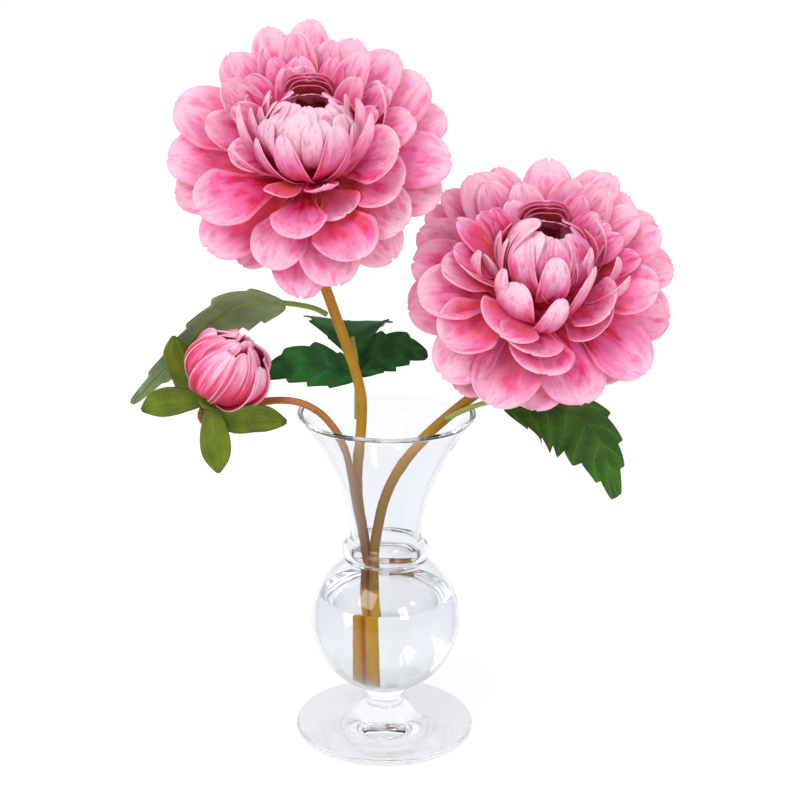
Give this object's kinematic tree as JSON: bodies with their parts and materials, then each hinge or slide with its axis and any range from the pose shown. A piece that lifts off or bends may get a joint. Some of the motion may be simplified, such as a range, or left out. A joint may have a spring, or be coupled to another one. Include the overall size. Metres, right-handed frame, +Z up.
{
  "type": "dahlias in a glass vase",
  "caption": "Open pink dahlias and a bud with bracts and toothed leaves, standing in water in a footed glass bud vase with a flared mouth.",
  "frame": {"origin": "centre of the vase foot's flat underside, on the surface it stands on", "axes": "+Z up along the vase's axis; the flowers face -Y; +X to the right as seen from the front"},
  "size_m": [0.2427, 0.0963, 0.324],
  "materials": {
    "glass": "gloss",
    "water": "gloss",
    "stems": "satin",
    "bud_stem": "satin",
    "petals": "matte",
    "bud_petals": "matte",
    "bracts": "matte",
    "leaf_pale": "matte",
    "leaf_dark": "satin",
    "leaf_green": "satin"
  },
  "bodies": {
    "root": {"vase": "glass", "water": "water", "stem_tall": "stems", "stem_right": "stems", "stem_bud": "bud_stem", "bloom_tall": "petals", "bloom_right": "petals", "bud": "bud_petals", "bud_bracts": "bracts", "calyx_tall": "bracts", "calyx_right": "bracts", "leaf_arching": "leaf_pale", "leaf_compound": "leaf_dark", "leaf_right": "leaf_green"}
  },
  "joints": []
}
